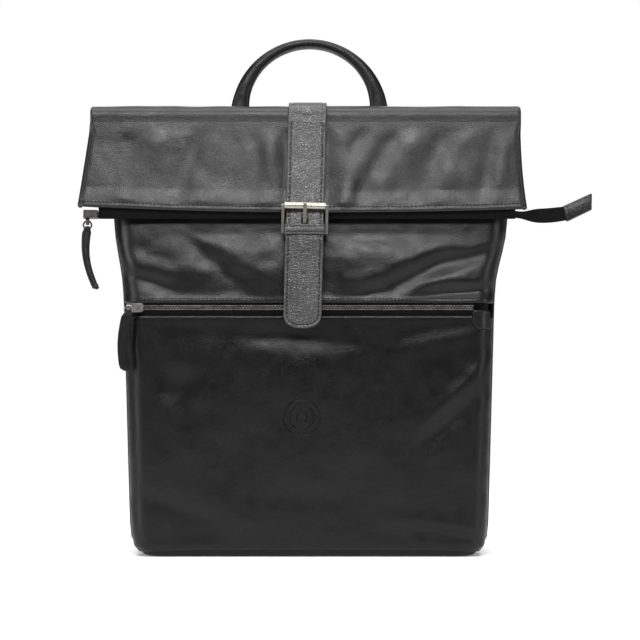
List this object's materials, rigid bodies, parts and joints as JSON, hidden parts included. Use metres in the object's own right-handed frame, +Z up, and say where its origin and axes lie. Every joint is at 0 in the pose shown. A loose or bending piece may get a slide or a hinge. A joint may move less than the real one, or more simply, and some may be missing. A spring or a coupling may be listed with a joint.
{
  "type": "leather backpack",
  "caption": "Roll-top leather backpack with a folded flap, buckled closure strap, zipped front pocket, grab handle and padded shoulder straps.",
  "frame": {"origin": "on the ground under the middle of the body, centred in its width and base depth", "axes": "+Z up, front of the bag towards -Y, the wearer's back side towards +Y, right seen from the front towards +X"},
  "size_m": [0.4733, 0.1437, 0.4886],
  "materials": {
    "leather_body": "smooth semi-gloss grained leather",
    "leather_flap": "soft crinkled leather, satin",
    "leather_strap": "pebbled leather with burnished edges",
    "lining_fabric": "plain cotton lining",
    "zip_tape": "woven zip tape",
    "zip_metal": "worn gunmetal zip teeth",
    "buckle_metal": "pale antique nickel-brass, brushed",
    "board": "stiff base board",
    "foam": "foam padding under mesh",
    "webbing": "flat woven webbing"
  },
  "bodies": {
    "bag": {"base_panel": "leather_body", "base_board": "board", "front_panel": "leather_body", "pocket_panel": "leather_body", "back_panel": "leather_body", "gusset_left": "leather_body", "gusset_right": "leather_body", "back_padding": "foam", "main_lining": "lining_fabric", "laptop_divider": "lining_fabric", "pocket_lining": "lining_fabric", "pocket_zip_tapes": "zip_tape", "pocket_zip_teeth": "zip_metal", "pocket_end_tab": "leather_body", "magnet_plate": "buckle_metal", "fold_leather": "leather_flap", "fold_facing": "leather_flap", "strap_fold": "leather_strap", "strap_root": "leather_strap", "strap_yoke": "leather_body", "handle_anchor_left": "leather_body", "handle_anchor_right": "leather_body", "shoulder_strap_left": "leather_body", "shoulder_strap_right": "leather_body", "webbing_left": "webbing", "webbing_right": "webbing", "strap_ring_left": "buckle_metal", "strap_ring_right": "buckle_metal", "lower_tab_left": "leather_body", "lower_tab_right": "leather_body"},
    "flap": {"flap_outer": "leather_flap", "flap_inner": "leather_flap", "flap_lining": "lining_fabric", "top_zip_tapes": "zip_tape", "top_zip_teeth": "zip_metal", "zip_tail": "zip_tape", "zip_tail_tab": "leather_strap", "closure_strap": "leather_strap", "buckle_frame": "buckle_metal", "buckle_chape": "leather_strap", "strap_keeper": "leather_strap", "magnet_bar": "buckle_metal"},
    "roller": {"buckle_roller": "buckle_metal"},
    "prong": {"buckle_prong": "buckle_metal"},
    "top_zip_slider": {"top_slider": "zip_metal"},
    "top_zip_ring": {"top_ring": "zip_metal"},
    "top_zip_pull": {"top_pull": "leather_strap"},
    "pocket_zip_slider": {"pocket_slider": "zip_metal"},
    "pocket_zip_ring": {"pocket_ring": "zip_metal"},
    "pocket_zip_pull": {"pocket_pull": "leather_strap"},
    "carry_handle": {"handle": "leather_body"},
    "left_adjuster": {"adjuster_left": "buckle_metal"},
    "right_adjuster": {"adjuster_right": "buckle_metal"}
  },
  "joints": [
    {"name": "flap_fold", "type": "hinge", "parent": "bag", "child": "flap", "pos_m": [0, -0.019, 0.404], "axis": [-1, 0, 0], "range_deg": [0, 172], "deforming": ["fold_leather", "fold_facing", "strap_fold"]},
    {"name": "roller_spin", "type": "hinge", "parent": "flap", "child": "roller", "pos_m": [-0.00357, -0.05931, 0.32371], "axis": [0.9997, 0, -0.0236], "continuous": true},
    {"name": "prong_lift", "type": "hinge", "parent": "flap", "child": "prong", "pos_m": [-0.00414, -0.05357, 0.29942], "axis": [0.9997, 0, -0.0236], "range_deg": [0, 14]},
    {"name": "top_zip_slide", "type": "slide", "parent": "flap", "child": "top_zip_slider", "axis": [1, 0, 0], "range_m": [0, 0.38]},
    {"name": "top_ring_swing", "type": "hinge", "parent": "top_zip_slider", "child": "top_zip_ring", "pos_m": [-0.2045, -0.04557, 0.3085], "axis": [0, -0.9906, 0.1364], "range_deg": [-50, 50]},
    {"name": "top_pull_lift", "type": "hinge", "parent": "top_zip_ring", "child": "top_zip_pull", "pos_m": [-0.2045, -0.04634, 0.30287], "axis": [-1, 0, 0], "range_deg": [0, 90]},
    {"name": "pocket_zip_slide", "type": "slide", "parent": "bag", "child": "pocket_zip_slider", "axis": [1, 0, 0], "range_m": [0, 0.3]},
    {"name": "pocket_ring_swing", "type": "hinge", "parent": "pocket_zip_slider", "child": "pocket_zip_ring", "pos_m": [-0.166, -0.0539, 0.2305], "axis": [0, -1, 0], "range_deg": [-60, 60]},
    {"name": "pocket_pull_lift", "type": "hinge", "parent": "pocket_zip_ring", "child": "pocket_zip_pull", "pos_m": [-0.166, -0.0539, 0.22485], "axis": [-1, 0, 0], "range_deg": [0, 90]},
    {"name": "handle_fold", "type": "hinge", "parent": "bag", "child": "carry_handle", "pos_m": [0, 0.02686, 0.396], "axis": [-1, 0, 0], "range_deg": [0, 70]},
    {"name": "left_adjuster_slide", "type": "slide", "parent": "bag", "child": "left_adjuster", "axis": [0.2857, 0.1504, 0.9464], "range_m": [-0.014, 0.022]},
    {"name": "right_adjuster_slide", "type": "slide", "parent": "bag", "child": "right_adjuster", "axis": [-0.2857, 0.1504, 0.9464], "range_m": [-0.014, 0.022]}
  ]
}
